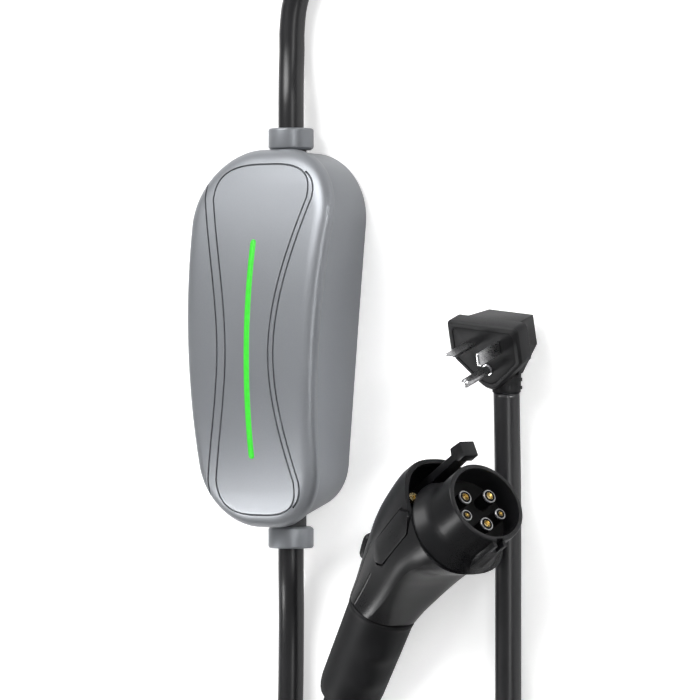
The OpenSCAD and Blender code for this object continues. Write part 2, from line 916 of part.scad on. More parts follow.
module plug_face() {
    color([0.09, 0.09, 0.10])
    on_plug()
    difference() {
        translate([0, 0, -face_t + 0.05])
            linear_extrude(face_t - 0.35) shield(3.4 + fit, 17, 19);
        blade_hole(flat_at, blade_w, blade_t);
        blade_hole(upright_at, blade_t, blade_w);
        translate([earth_at.x, earth_at.y, -face_t - 1])
            cylinder(h = face_t + 2, r = earth_r + earth_step + fit);
    }
}
flat_at = [-9, 5];
upright_at = [9, 5];
earth_at = [0, -8];
earth_step = 0.5;
module blade_hole(p, w, d) {
    translate([p.x - w / 2 - fit, p.y - d / 2 - fit, -face_t - 1])
        cube([w + 2 * fit, d + 2 * fit, face_t + 2]);
}
module blade(p, w, d) {
    color(brass)
    on_plug()
    translate([p.x, p.y, 0])
    intersection() {
        translate([-w / 2, -d / 2, -face_t + 0.05])
            cube([w, d, blade_l + face_t]);
        union() {
            translate([-w / 2 - 1, -d / 2 - 1, -face_t])
                cube([w + 2, d + 2, blade_l + face_t - 1]);
            translate([-w / 2 + 0.6, -d / 2 + 0.4, -face_t])
                cube([w - 1.2, d - 0.8, blade_l + face_t + 1]);
        }
    }
}
module flat_blade() { blade(flat_at, blade_w, blade_t); }
module upright_blade() { blade(upright_at, blade_t, blade_w); }
module earth_pin() {
    color(brass)
    on_plug()
    translate([earth_at.x, earth_at.y, -face_t + 0.05])
    rotate_extrude()
        polygon([[0, 0], [earth_r + earth_step, 0], [earth_r + earth_step, face_t - 0.05],
            [earth_r, face_t - 0.05], [earth_r, earth_l + face_t - 2.05],
            [earth_r - 1.2, earth_l + face_t - 0.05], [0, earth_l + face_t - 0.05]]);
}

// Ribbed relief where the cable leaves the plug, level with the floor
relief_at = [138, -17, 8.2];
relief_l = 11;
relief_pitch = 4.2;
module plug_strain_relief() {
    color(rubber)
    translate(relief_at)
    rotate([90, 0, 0])
    union() {
        rotate_extrude()
            polygon([[0, -4], [7.6, -4], [7.6, 2], [cable_d / 2 + 0.5, relief_l], [0, relief_l]]);
        for (i = [0:1])
            translate([0, 0, 3.4 + relief_pitch * i])
            cylinder(h = 1.8, r = 8.1);
    }
}

// Cords: chosen points, with round bends worked out between them
cable_r = cable_d / 2;
function bend(c, r, from, to, steps, z0, z1) = [for (i = [0:steps])
    [c.x + r * cos(from + (to - from) * i / steps), c.y + r * sin(from + (to - from) * i / steps),
        z0 + (z1 - z0) * i / steps]];
lay_z = cable_r;
coil_at = [187, -268];
coil_r = 64;
// the coil lies on the mains lead's last bend
coil_z = cable_d + 0.3;
coil_cols = 2;
coil_rows = 4;
mains_route = concat(
    [[0, cable_y, gland_z], [0, 125, gland_z - 0.5], [0, 140, gland_z - 4]],
    bend([54, 160], 54, 180, 90, 4, lay_z, lay_z),
    [[90, 214, lay_z], [126, 214, lay_z], [162, 214, lay_z]],
    bend([211, 160], 54, 90, 0, 4, lay_z, lay_z),
    [for (y = [120:-40:-200]) [265, y, lay_z]],
    bend([201.5, -258], 63.5, 0, -180, 8, lay_z, lay_z),
    [[138, -220, lay_z], [138, -180, lay_z], [138, -140, lay_z], [138, -100, lay_z], [138, -70, lay_z + 0.4],
        [138, relief_at.y - relief_l, relief_at.z]]
);
out_route = concat(
    [[0, -cable_y, gland_z], [0, -125, gland_z - 0.5], [0, -140, gland_z - 4], [0, -160, lay_z],
        [-1, -185, lay_z], [-4, -208, lay_z], [-6, -230, lay_z], [-4, -252, lay_z]],
    bend([54, -278], 54, 180, 270, 4, lay_z, lay_z),
    [[84, -332, lay_z], [112, -332, lay_z + 3], [140, -332, lay_z + 9], [165, -332, coil_z + cable_r - 0.6],
        [187, -332, coil_z + cable_r]]
);
// End of the boot in the room, and the way the cable leaves it
function turn_x(p, a) = [p.x, p.y * cos(a) - p.z * sin(a), p.y * sin(a) + p.z * cos(a)];
function turn_y(p, a) = [p.x * cos(a) + p.z * sin(a), p.y, p.z * cos(a) - p.x * sin(a)];
function turn_z(p, a) = [p.x * cos(a) - p.y * sin(a), p.x * sin(a) + p.y * cos(a), p.z];
function from_connector(p) = rim_at + turn_z(turn_y(turn_x(p, roll), -pitch), yaw);
function on_grip_axis(t) = from_connector(
    [grip_x - t * cos(grip_bend), 0, grip_z - t * sin(grip_bend)]);
boot_end = on_grip_axis(grip_l + boot_l);
in_route = concat(
    [boot_end],
    bend([71, -233], 50, 160, 250, 4, boot_end.z - 0.8, lay_z),
    bend([71, -233], 50, 270, 344, 4, lay_z + 1, coil_z + cable_r)
);
module mains_cord() {
    color(rubber) swept(mains_route, cable_r, 10);
}
module vehicle_cord_out() {
    color(rubber) swept(out_route, cable_r, 10);
}
module vehicle_cord_in() {
    color(rubber) swept(in_route, cable_r, 10);
}
coil_w = coil_cols * cable_d;
coil_h = coil_rows * cable_d;
module vehicle_coil() {
    color(rubber)
    translate([coil_at.x, coil_at.y, coil_z])
    rotate_extrude($fn = 72)
        translate([coil_r - coil_w / 2, 0])
        polygon([[4, 0], [coil_w - 4, 0], [coil_w, 4], [coil_w, coil_h - 4], [coil_w - 4, coil_h],
            [4, coil_h], [0, coil_h - 4], [0, 4]]);
}
tie_w = 14;
tie_t = 1.6;
module coil_tie() {
    color(dark)
    translate([coil_at.x + coil_r, coil_at.y, coil_z])
    difference() {
        translate([-coil_w / 2 - tie_t - 1.2, -tie_w / 2, 0])
            cube([coil_w + 2 * tie_t + 2, tie_w, coil_h + tie_t + fit]);
        translate([-coil_w / 2 - 1.2, -tie_w / 2 - 1, -1])
            cube([coil_w + 2, tie_w + 2, coil_h + 1 + fit]);
    }
}

front_cover();
rear_housing();
housing_seal();
light_bar();
light_board();
main_board();
power_relay_a();
power_relay_b();
current_sensor();
supply_transformer();
capacitor_a();
capacitor_b();
terminal_block_in();
terminal_block_out();
cover_screw_a();
cover_screw_b();
cover_screw_c();
cover_screw_d();
gland_body_in();
gland_collar_in();
gland_body_out();
gland_collar_out();
handle_shell_left();
handle_shell_right();
grip_sleeve();
barrel();
contact_carrier();
line_contact();
neutral_contact();
earth_contact();
pilot_contact();
proximity_contact();
latch_lever();
latch_pin();
latch_frame();
latch_spring();
side_plaque();
front_screw_left();
front_screw_right();
cable_boot();
plug_body();
plug_face();
flat_blade();
upright_blade();
earth_pin();
plug_strain_relief();
mains_cord();
vehicle_cord_out();
vehicle_coil();
vehicle_cord_in();
coil_tie();
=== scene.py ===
"""Looks of a portable electric-car charger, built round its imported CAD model. Lengths are millimetres."""

import json
from math import asin, atan2, cos, exp, pi, radians, sin, sqrt

import bmesh
import bpy
from mathutils import Matrix, Vector


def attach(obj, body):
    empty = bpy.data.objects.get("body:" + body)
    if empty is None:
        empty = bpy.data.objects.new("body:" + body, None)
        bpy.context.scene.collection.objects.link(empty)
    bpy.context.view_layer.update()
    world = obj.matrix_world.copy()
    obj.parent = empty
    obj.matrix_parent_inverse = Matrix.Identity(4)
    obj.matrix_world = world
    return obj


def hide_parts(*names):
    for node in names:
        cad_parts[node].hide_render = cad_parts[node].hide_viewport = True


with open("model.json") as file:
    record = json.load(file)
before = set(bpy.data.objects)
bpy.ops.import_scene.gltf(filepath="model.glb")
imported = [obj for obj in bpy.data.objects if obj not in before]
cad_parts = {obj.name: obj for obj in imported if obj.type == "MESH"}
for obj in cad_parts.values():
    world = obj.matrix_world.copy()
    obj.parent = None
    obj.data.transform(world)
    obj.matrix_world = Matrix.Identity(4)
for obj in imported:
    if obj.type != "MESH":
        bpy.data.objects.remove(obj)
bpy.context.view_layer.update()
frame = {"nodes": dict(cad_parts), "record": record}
nodes = frame["nodes"]
MM = 0.001


# Materials

class Sock:
    """A shader socket that can be written in sums."""

    def __init__(self, paint, socket):
        self.paint = paint
        self.socket = socket

    def __add__(self, other):
        return self.paint.math("ADD", self, other)

    def __radd__(self, other):
        return self.paint.math("ADD", other, self)

    def __mul__(self, other):
        return self.paint.math("MULTIPLY", self, other)

    def __rmul__(self, other):
        return self.paint.math("MULTIPLY", other, self)


class Paint:
    """A node material round one surface shader; fixed values go on the shader's own sockets."""

    def __init__(self, name, **fixed):
        self.material = bpy.data.materials.new(name)
        self.material.use_nodes = True
        self.tree = self.material.node_tree
        self.shader = self.tree.nodes["Principled BSDF"]
        for key, value in fixed.items():
            self.shader.inputs[key.replace("_", " ").title().replace("Ior", "IOR")].default_value = value
        self.place = self.node("ShaderNodeTexCoord", out="Object")

    def put(self, socket, value):
        if isinstance(value, Sock):
            self.tree.links.new(value.socket, socket)
        else:
            socket.default_value = value

    def node(self, kind, values=None, out=0, **settings):
        made = self.tree.nodes.new(kind)
        for key, value in settings.items():
            setattr(made, key, value)
        for key, value in (values or {}).items():
            self.put(made.inputs[key], value)
        return Sock(self, made.outputs[out])

    def math(self, operation, a, b):
        return self.node("ShaderNodeMath", {0: a, 1: b}, operation=operation)

    def mix(self, factor, a, b):
        """Colour between a and b."""
        return self.node("ShaderNodeMix", {0: factor, 6: a, 7: b}, out=2, data_type="RGBA")

    def noise(self, scale, detail=2.0, stretch=None):
        """Noise with scale features per metre, stretched along the axes if asked."""
        at = self.place
        if stretch:
            at = self.node("ShaderNodeVectorMath", {0: at, 1: stretch}, operation="MULTIPLY")
        return self.node("ShaderNodeTexNoise", {"Vector": at, "Scale": scale, "Detail": detail})

    def span(self, value, low, high, to_low=0.0, to_high=1.0):
        """Value moved from one range to another and held there."""
        values = {"Value": value, 1: low, 2: high, 3: to_low, 4: to_high}
        return self.node("ShaderNodeMapRange", values)

    def feed(self, socket, value):
        self.put(self.shader.inputs[socket], value)

    def bump(self, height, distance, strength=1.0):
        values = {"Height": height, "Distance": distance, "Strength": strength}
        self.feed("Normal", self.node("ShaderNodeBump", values))


def rgb(*linear):
    return (*linear, 1.0)


def grained(name, dark, light, rough, grain=2600, depth=0.00003, **fixed):
    """Moulded plastic or rubber: spark-eroded grain, faint cloudiness and a slightly uneven gloss."""
    p = Paint(name, **fixed)
    fine = p.noise(grain, 3.0)
    broad = p.noise(22, 4.0)
    p.feed("Base Color", p.mix(p.span(0.35 * fine + 0.65 * broad, 0.3, 0.7), rgb(*dark), rgb(*light)))
    p.feed("Roughness", p.span(0.5 * fine + 0.5 * broad, 0.3, 0.7, rough - 0.06, rough + 0.06))
    p.bump(fine, depth, 0.6)
    return p.material


def silver_paint():
    p = Paint("silver_paint", metallic=0.45, coat_weight=0.08, coat_roughness=0.3)
    flake = p.noise(5200, 2.0)
    broad = p.noise(9, 3.0)
    peel = p.noise(700, 2.0)
    tone = p.span(0.5 * flake + 0.5 * broad, 0.34, 0.66)
    p.feed("Base Color", p.mix(tone, rgb(0.235, 0.247, 0.265), rgb(0.305, 0.318, 0.34)))
    p.feed("Roughness", p.span(0.6 * flake + 0.4 * broad, 0.3, 0.7, 0.32, 0.42))
    p.bump(peel, 0.00002, 0.35)
    return p.material


def turned_metal(name, dark, light, rough):
    """Plated metal with faint turning marks and tarnish."""
    p = Paint(name, metallic=1.0)
    marks = p.noise(3000, 2.0, (1.0, 1.0, 0.2))
    tarnish = p.noise(160, 4.0)
    p.feed("Base Color", p.mix(p.span(0.3 * marks + 0.7 * tarnish, 0.35, 0.65), rgb(*dark), rgb(*light)))
    p.feed("Roughness", p.span(marks, 0.3, 0.7, rough - 0.08, rough + 0.08))
    p.bump(marks, 0.00001, 0.4)
    return p.material


def light_lens():
    p = Paint("light_lens", roughness=0.3, emission_strength=0.8)
    cells = p.noise(420, 2.0)
    p.feed("Base Color", p.mix(cells, rgb(0.02, 0.24, 0.015), rgb(0.025, 0.28, 0.02)))
    p.feed("Emission Color", p.mix(p.span(cells, 0.3, 0.7), rgb(0.05, 0.72, 0.035), rgb(0.06, 0.78, 0.045)))
    p.bump(cells, 0.00002, 0.3)
    return p.material


def circuit_board():
    p = Paint("circuit_board", coat_weight=0.3)
    tracks = p.node("ShaderNodeTexBrick", {"Vector": p.place, "Scale": 60.0, "Mortar Size": 0.03}, out="Fac")
    grain = p.noise(900, 2.0)
    tone = p.span(0.8 * tracks + 0.2 * grain, 0.1, 0.9)
    p.feed("Base Color", p.mix(tone, rgb(0.01, 0.09, 0.035), rgb(0.02, 0.15, 0.06)))
    p.feed("Roughness", p.span(grain, 0.3, 0.7, 0.3, 0.45))
    p.bump(tracks, 0.00003, 0.5)
    return p.material


def cable_sheath():
    """Extruded cable: fine grain and faint scuffs."""
    p = Paint("cable_sheath", specular_ior_level=0.6)
    scuff = p.noise(60, 5.0)
    grain = p.noise(3200, 2.0)
    tone = p.span(0.6 * scuff + 0.4 * grain, 0.32, 0.68)
    p.feed("Base Color", p.mix(tone, rgb(0.009, 0.009, 0.010), rgb(0.013, 0.013, 0.015)))
    p.feed("Roughness", p.span(scuff, 0.3, 0.7, 0.31, 0.35))
    p.bump(grain, 0.00002, 0.5)
    return p.material


def webbing():
    p = Paint("tie_webbing")
    threads = []
    for scale, way in ((320.0, "Y"), (260.0, "DIAGONAL")):
        values = {"Vector": p.place, "Scale": scale, "Distortion": 0.6}
        threads.append(p.node("ShaderNodeTexWave", values, bands_direction=way))
    weave = 0.5 * threads[0] + 0.5 * threads[1]
    p.feed("Base Color", p.mix(weave, rgb(0.008, 0.008, 0.009), rgb(0.03, 0.03, 0.032)))
    p.feed("Roughness", p.span(weave, 0.0, 1.0, 0.75, 0.9))
    p.bump(weave, 0.0002, 0.6)
    return p.material


PAINTS = {
    "silver_paint": silver_paint(),
    "dark_nylon": grained("dark_nylon", (0.030, 0.031, 0.033), (0.048, 0.049, 0.052), 0.5),
    "light_lens": light_lens(),
    "circuit_board": circuit_board(),
    "relay_case": grained("relay_case", (0.008, 0.008, 0.009), (0.016, 0.016, 0.017), 0.42),
    "inner_parts": grained("inner_parts", (0.30, 0.22, 0.05), (0.42, 0.32, 0.09), 0.45),
    "steel": turned_metal("steel", (0.42, 0.42, 0.43), (0.60, 0.60, 0.61), 0.3),
    "handle_plastic": grained("handle_plastic", (0.005, 0.005, 0.006), (0.010, 0.010, 0.011), 0.31,
        specular_ior_level=0.3),
    "carrier_plastic": grained("carrier_plastic", (0.001, 0.001, 0.001), (0.003, 0.003, 0.003), 0.6,
        specular_ior_level=0.15),
    "contact_brass": turned_metal("contact_brass", (0.60, 0.46, 0.20), (0.88, 0.76, 0.46), 0.26),
    "grip_rubber": grained("grip_rubber", (0.005, 0.005, 0.006), (0.010, 0.010, 0.011), 0.56, 1700, 0.00006,
        specular_ior_level=0.25),
    "plug_plastic": grained("plug_plastic", (0.005, 0.005, 0.006), (0.010, 0.010, 0.011), 0.50, 1500, 0.00005,
        specular_ior_level=0.28),
    "cable_sheath": cable_sheath(),
    "tie_webbing": webbing(),
}


# Meshes

def solid(name, verts, faces):
    """An object from millimetre points, with its faces turned outwards."""
    mesh = bpy.data.meshes.new(name)
    mesh.from_pydata([Vector(v) * MM for v in verts], [], faces)
    mesh.validate()
    work = bmesh.new()
    work.from_mesh(mesh)
    bmesh.ops.recalc_face_normals(work, faces=work.faces)
    work.to_mesh(mesh)
    work.free()
    made = bpy.data.objects.new(name, mesh)
    bpy.context.scene.collection.objects.link(made)
    return made


def piece(name, verts, faces, slot, stands_for, body="charger"):
    """A smooth closed mesh on one body, which may stand for CAD nodes."""
    made = solid(name, verts, faces)
    made.data.shade_smooth()
    made.data.materials.append(PAINTS[slot])
    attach(made, body)
    if stands_for:
        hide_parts(*stands_for)
    return made


def loft(rings, closed=True):
    """Vertices and faces over a stack of equal rings, with both ends closed by one face."""
    n = len(rings[0])
    verts = [p for ring in rings for p in ring]
    faces = []
    for i in range(len(rings) - 1):
        for j in range(n):
            k = (j + 1) % n
            faces.append((i * n + j, (i + 1) * n + j, (i + 1) * n + k, i * n + k))
    if closed:
        faces.append(tuple(range(n)))
        faces.append(tuple(len(verts) - 1 - i for i in range(n)))
    return verts, faces


# Cords: each is one smooth line through the points of its route

CABLE_R = 6.75
CABLE_D = 2 * CABLE_R
LAY = CABLE_R
CORD_STEP, CORD_SIDES = 4.0, 20


def bend(cx, cy, r, start, end, steps, z0, z1):
    points = []
    for i in range(steps + 1):
        a = radians(start + (end - start) * i / steps)
        points.append((cx + r * cos(a), cy + r * sin(a), z0 + (z1 - z0) * i / steps))
    return points


def spline(a, b, c, d, t):
    """Value between b and c on one smooth curve through four values or points."""
    square = 2 * a - 5 * b + 4 * c - d
    cube = 3 * b - a - 3 * c + d
    return 0.5 * (2 * b + t * (c - a) + t * t * square + t ** 3 * cube)


def smooth_line(points, step):
    """Points every step along one curve through the given ones."""
    p = [Vector(v) for v in points]
    p = [2 * p[0] - p[1]] + p + [2 * p[-1] - p[-2]]
    fine = []
    for i in range(1, len(p) - 2):
        pieces = max(2, int((p[i + 1] - p[i]).length / (step / 4)))
        fine += [spline(*p[i - 1:i + 3], k / pieces) for k in range(pieces)]
    fine.append(p[-2])
    line = [fine[0]]
    gone = 0.0
    for a, b in zip(fine, fine[1:]):
        gone += (b - a).length
        if gone >= step:
            line.append(b)
            gone = 0.0
    if (line[-1] - fine[-1]).length > step / 3:
        line.append(fine[-1])
    else:
        line[-1] = fine[-1]
    return line


def length_of(line):
    return sum((b - a).length for a, b in zip(line, line[1:]))


def tube(line, radius, sides):
    """Rings square to the line, each turned as little as possible from the one before."""
    rings = []
    side = None
    for i, at in enumerate(line):
        along = (line[min(i + 1, len(line) - 1)] - line[max(i - 1, 0)]).normalized()
        if side is None:
            side = along.cross(Vector((0, 0, 1))).normalized()
        side = (side - along * side.dot(along)).normalized()
        up = along.cross(side)
        rings.append([at + radius * (cos(2 * pi * k / sides) * side + sin(2 * pi * k / sides) * up)
            for k in range(sides)])
    return loft(rings)


CABLE_Y = 105.825
GLAND_Z = 12.5
RELIEF = (138, -28, 8.2)
mains_points = (
    [(0, CABLE_Y, GLAND_Z), (-0.4, 125, GLAND_Z - 0.5), (-3, 141, GLAND_Z - 4), (-4, 153, LAY)]
    + bend(50.5, 162.5, 54.5, 180, 90, 6, LAY, LAY)
    + [(90, 217, LAY), (126, 217, LAY), (170, 217, LAY)]
    + bend(210.5, 162.5, 54.5, 90, 0, 6, LAY, LAY)
    + [(265, y, LAY) for y in range(120, -201, -40)]
    + bend(201.5, -258, 63.5, 0, -180, 8, LAY, LAY)
    + [(138, y, LAY) for y in range(-220, -99, 40)]
    + [(138, -70, LAY + 0.4), RELIEF]
)

COIL = (187, -268)
COIL_R = 64
COIL_LOW = CABLE_D + 0.3 + CABLE_R
ROWS = 4
# Angles over which the lead climbs a row, draws in to the inner column and crosses to the outer one
CLIMB_A, DRAW_IN_A, CROSS_A = 40, 60, 70
COIL_START_A, COIL_END_A, COIL_STEP_A = 8, 7 * 360 + 246, 15


def eased(t):
    t = min(max(t, 0.0), 1.0)
    return t * t * (3 - 2 * t)


def coil_points():
    """Turns counted from the coil's near side: up the inner column, over, and down the outer one."""
    points = []
    for a in range(COIL_START_A, COIL_END_A + 1, COIL_STEP_A):
        turn = a // 360
        into = eased((a % 360) / CLIMB_A)
        if turn < ROWS:
            r = COIL_R - CABLE_R * (eased(a / DRAW_IN_A) if turn == 0 else 1.0)
            row = turn - 1 + into if turn else 0.0
        else:
            r = COIL_R + CABLE_R * (2 * eased((a % 360) / CROSS_A) - 1 if turn == ROWS else 1.0)
            row = ROWS - 1 if turn == ROWS else 2 * ROWS - turn - into
        at = radians(a - 90)
        points.append((COIL[0] + r * cos(at), COIL[1] + r * sin(at), COIL_LOW + CABLE_D * row))
    return points


BOOT_END = (28.73, -206.68, 12.28)
vehicle_points = (
    [(0, -CABLE_Y, GLAND_Z), (-0.4, -125, GLAND_Z - 0.5), (-3, -142, GLAND_Z - 4), (-4.5, -160, LAY),
        (-4.8, -185, LAY), (-5.5, -208, LAY), (-6, -230, LAY), (-4, -252, LAY)]
    + bend(54, -278, 54, 180, 270, 4, LAY, LAY)
    + [(84, -332, LAY), (112, -332, LAY + 3), (140, -332, LAY + 9), (165, -332, COIL_LOW - 0.6)]
    + coil_points()
)


def cord(name, points, stands_for):
    line = smooth_line(points, CORD_STEP)
    made = piece(name, *tube(line, CABLE_R, CORD_SIDES), "cable_sheath", stands_for)
    line[0] * MM
    length_of(line) * MM
    [p * MM for p in line]
    print(name, round(length_of(line)), "mm")


# Control box: the CAD's plan and bow, drawn finely

BOX_L, BOX_W_TOP, BOX_W_LOW, BOX_H = 199, 93, 79, 50
CORNER_TOP, CORNER_LOW = 38, 34
BOW_R, BOW_Y = 320, -10
RIM_H, SEAM, WALL, SKIN = 7.5, 0.8, 2.8, 2.6
DRAFT_WIDE, DRAFT_GROWS = 1.8, 7.8
TOP_C = Vector((BOX_W_TOP / 2 - CORNER_TOP, BOX_L / 2 - CORNER_TOP))
LOW_C = Vector((BOX_W_LOW / 2 - CORNER_LOW, CORNER_LOW - BOX_L / 2))
RUN = TOP_C - LOW_C
SIDE_A = asin((CORNER_LOW - CORNER_TOP) / RUN.length) - atan2(RUN.x, RUN.y)


def bow(y):
    return BOX_H - BOW_R + sqrt(BOW_R ** 2 - (y - BOW_Y) ** 2)


def turned(centre, r, a):
    return Vector((centre[0] + r * cos(a), centre[1] + r * sin(a)))


def half_plan(inset):
    """Right-hand half of the box's outline, from its top to its foot."""
    upper, lower = CORNER_TOP - inset, CORNER_LOW - inset
    start, end = turned(TOP_C, upper, SIDE_A), turned(LOW_C, lower, SIDE_A)
    points = [turned(TOP_C, upper, pi / 2 + (SIDE_A - pi / 2) * i / 28) for i in range(29)]
    points += [start.lerp(end, i / 24) for i in range(1, 24)]
    return points + [turned(LOW_C, lower, SIDE_A - (SIDE_A + pi / 2) * i / 28) for i in range(29)]


def both_sides(half, height):
    """Closed ring from a right-hand half outline; height gives z from y."""
    right = [Vector((p[0], p[1], height(p[1]))) for p in half]
    return right + [Vector((-p.x, p.y, p.z)) for p in reversed(right)]


def below_face(inset, depth):
    return both_sides(half_plan(inset), lambda y: bow(y) - depth)


def drafted(extra, z):
    """Level ring drawn in by the housing's draft, which grows from the wide end to the narrow one."""
    half = []
    for p, q in zip(half_plan(0), half_plan(1)):
        draft = DRAFT_WIDE + DRAFT_GROWS * (max(0.0, BOX_L / 2 - p.y) / BOX_L) ** 0.75
        half.append(p + (q - p) * (draft + extra))
    return both_sides(half, lambda y: z)


def stack(rings):
    """Skin over rings of mirrored outlines; both ends are closed by strips across."""
    verts, faces = loft(rings, closed=False)
    n = len(rings[0])
    for base in (0, len(verts) - n):
        faces += [(base + j, base + j + 1, base + n - j - 2, base + n - j - 1) for j in range(n // 2 - 1)]
    return verts, faces


def crisp(made, sharp=34):
    """Smooth shading, with edges of more than the sharp angle kept."""
    made.data.shade_smooth()
    made.data.set_sharp_from_angle(angle=radians(sharp))


def cut(made, cutters, sharp=34):
    """Take cutters out of a piece for good, and keep its edges crisp."""
    for verts, faces in cutters:
        tool = solid("cutter", verts, faces)
        step = made.modifiers.new("cut", "BOOLEAN")
        step.operation = "DIFFERENCE"
        step.solver = "EXACT"
        step.object = tool
        done = bpy.data.meshes.new_from_object(made.evaluated_get(bpy.context.evaluated_depsgraph_get()))
        made.modifiers.clear()
        made.data = done
        bpy.data.objects.remove(tool)
    crisp(made, sharp)


PANEL_TOP, PANEL_WAIST, PANEL_LOW = 31.5, 14.4, 26
PANEL_Y_TOP, PANEL_Y_LOW = BOX_L / 2 - 8, 6.5 - BOX_L / 2
PANEL_CORNER, PANEL_ROUND, WAIST_Y = 18, 0.69, -8
LINE_W, LINE_D, LINE_TAPER = 1.1, 1.5, 0.7


def swell(t):
    return t * t * (1.6 - 0.6 * t)


def panel_half(y):
    """Half width of the hourglass panel, narrowest at its waist."""
    if y > WAIST_Y:
        widest, reach = PANEL_TOP, PANEL_Y_TOP - PANEL_CORNER - WAIST_Y
    else:
        widest, reach = PANEL_LOW, WAIST_Y - PANEL_Y_LOW - PANEL_CORNER
    return PANEL_WAIST + (widest - PANEL_WAIST) * swell(abs(y - WAIST_Y) / reach)


def arched(half, y, rise, a):
    """Point of a panel end: one arch from side to side, squarer than an ellipse."""
    return Vector((half * cos(a) ** PANEL_ROUND, y + rise * sin(a) ** PANEL_ROUND))


def panel_side():
    start, end = PANEL_Y_TOP - PANEL_CORNER, PANEL_Y_LOW + PANEL_CORNER
    points = [arched(PANEL_TOP, start, PANEL_CORNER, radians(a)) for a in range(84, 5, -6)]
    for i in range(61):
        y = start + (end - start) * i / 60
        points.append(Vector((panel_half(y), y)))
    return points + [arched(PANEL_LOW, end, -PANEL_CORNER, radians(a)) for a in range(6, 85, 6)]


# The cover's rounded edge and the lip under it: inset from the outline, depth below the bow
PILLOW = [(9, 0), (7.2, 0.07), (5.6, 0.27), (4.1, 0.65), (2.8, 1.22), (1.75, 1.95), (0.95, 2.85), (0.4, 3.85),
    (0.1, 4.8), (0, 5.6)]
LIP = [(0.08, 6.6), (0.25, 7.2), (0.6, RIM_H), (WALL + 1, RIM_H), (WALL + 2.6, SKIN)]


def face_height(p):
    """Height of the cover over a point: its bow, less the fall of the pillow edge."""
    at = Vector((abs(p.x), p.y))
    out = Vector((cos(SIDE_A), sin(SIDE_A)))
    inset = min(out.dot(TOP_C) + CORNER_TOP - out.dot(at), BOX_L / 2 - abs(p.y))
    if at.x > TOP_C.x and at.y > TOP_C.y:
        inset = min(inset, CORNER_TOP - (at - TOP_C).length)
    if at.x > LOW_C.x and at.y < LOW_C.y:
        inset = min(inset, CORNER_LOW - (at - LOW_C).length)
    for (far, high), (near, low) in zip(PILLOW, PILLOW[1:]):
        if near <= inset < far:
            return bow(p.y) - low - (high - low) * (inset - near) / (far - near)
    return bow(p.y) - (0 if inset >= PILLOW[0][0] else PILLOW[-1][1])


def groove(path, closed):
    """Four-sided solid along a path on the face, one line wide."""
    rings = []
    count = len(path)
    for i, at in enumerate(path):
        ahead = path[(i + 1) % count] if closed else path[min(i + 1, count - 1)]
        behind = path[i - 1] if closed else path[max(i - 1, 0)]
        along = (ahead - behind).normalized()
        side = Vector((along.y, -along.x)) * LINE_W / 2
        floor = side * LINE_TAPER
        top, foot = face_height(at) + 1, face_height(at) - LINE_D
        rings.append([(*(at + side), top), (*(at - side), top), (*(at - floor), foot), (*(at + floor), foot)])
    if not closed:
        return loft(rings)
    verts, faces = loft(rings + rings[:1], closed=False)
    keep = len(verts) - 4
    return verts[:keep], [tuple(v % keep for v in face) for face in faces]


def pill(w, low, high):
    """Long slot with round ends, between two depths below the face."""
    half = [turned((0, LIGHT_Y + (LIGHT_L - w) / 2), w / 2, radians(a)) for a in range(84, -1, -12)]
    half += [Vector((w / 2, LIGHT_Y + (LIGHT_L - w) * (0.5 - i / 40))) for i in range(1, 40)]
    half += [turned((0, LIGHT_Y - (LIGHT_L - w) / 2), w / 2, radians(-a)) for a in range(0, 85, 12)]
    return stack([both_sides(half, lambda y, d=d: bow(y) - d) for d in (low, high)])


def right_line(side):
    """Line that leaves the panel near its upper corner and comes back to it near the lower one."""
    line = []
    for p in side:
        to_end = min(PANEL_Y_TOP - p.y, p.y - PANEL_Y_LOW)
        if to_end > LINE_STARTS:
            line.append(Vector((p.x + RIGHT_OFF * min(1.0, to_end / LINE_LEAVES) ** 0.6, p.y)))
    return line


def left_line(side):
    """Line beside the panel that runs off the cover's edge at both ends."""
    low, top = PANEL_Y_LOW + LEFT_CLEAR, PANEL_Y_TOP - LEFT_CLEAR
    line = [Vector((-p.x - LEFT_OFF, p.y)) for p in side if low < p.y < top]
    return [Vector(p) for p in LEFT_TOP] + line + [Vector(p) for p in LEFT_LOW]


LIGHT_L, LIGHT_W, LIGHT_Y = 115, 3.2, -5.8
RIGHT_OFF, LINE_STARTS, LINE_LEAVES = 3.4, 4, 14
LEFT_OFF, LEFT_CLEAR = 5.6, 15
LEFT_TOP = [(-40.2, 88), (-39.2, 84), (-38.1, 80)]
LEFT_LOW = [(-32.6, -82), (-33.8, -85.5), (-35.4, -89)]
cover = piece("box_cover", *stack([below_face(inset, depth) for inset, depth in PILLOW + LIP]),
    "silver_paint", ["front_cover"])
panel = panel_side()
panel_loop = panel + [Vector((-p.x, p.y)) for p in reversed(panel)]
cut(cover, [groove(panel_loop, True), groove(right_line(panel), False), groove(left_line(panel), False),
    pill(LIGHT_W + 0.5, SKIN + 2, -2)])
piece("light_strip", *pill(LIGHT_W, SKIN + 1.2, -0.25), "light_lens", ["light_bar"])
housing_rings = [drafted(extra, z) for extra, z in ((5, 0), (3, 0.25), (1.4, 0.8), (0.4, 1.8), (0, 3))]
housing_rings += [below_face(inset, RIM_H + SEAM + drop)
    for inset, drop in ((1.5, 0.6), (1.6, 0.2), (1.9, 0), (1.2 + WALL, 0))]
housing_rings += [drafted(WALL, 5.4), drafted(WALL + 2, 3.4)]
housing = piece("box_back", *stack(housing_rings), "silver_paint", ["rear_housing"])
crisp(housing)


# Vehicle connector: x forward along the barrel, z towards the latch

